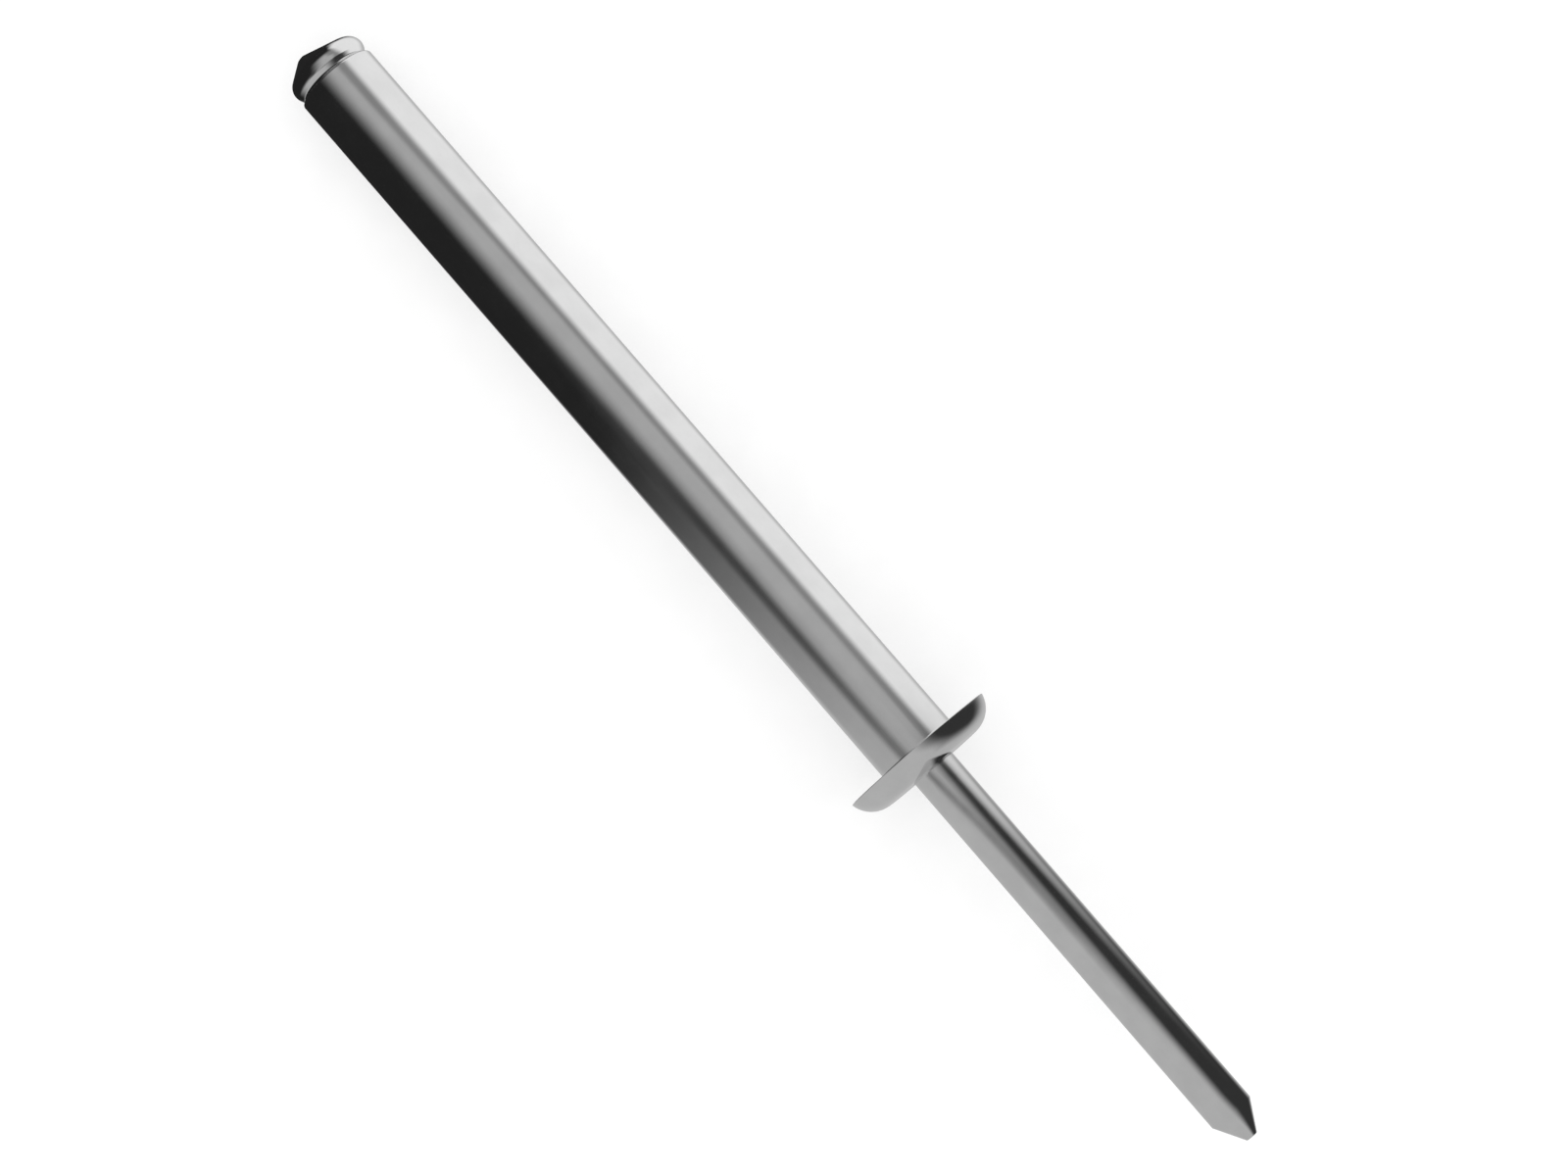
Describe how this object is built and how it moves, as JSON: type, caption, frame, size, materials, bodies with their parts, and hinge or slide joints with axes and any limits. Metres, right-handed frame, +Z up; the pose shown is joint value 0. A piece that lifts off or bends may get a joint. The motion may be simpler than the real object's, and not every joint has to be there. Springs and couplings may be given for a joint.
{
  "type": "blind rivet",
  "caption": "Open-end tubular blind rivet: a sleeve with a domed flange on a headed pull mandrel, lying at rest as supplied, before setting.",
  "frame": {"origin": "centre of the flange's bearing face, on the rivet's axis", "axes": "+X towards the mandrel's tip, +Z up; the rivet lies at rest, so its axis climbs 2.6 degrees from +X towards +Z"},
  "size_m": [0.0802, 0.0094, 0.0094],
  "materials": {
    "sleeve_metal": "smooth cold-headed aluminium alloy, satin, with faint drawing lines along the sleeve",
    "mandrel_metal": "bright drawn steel wire with a smooth headed end"
  },
  "bodies": {
    "root": {"rivet_body": "sleeve_metal", "mandrel": "mandrel_metal"}
  },
  "joints": []
}
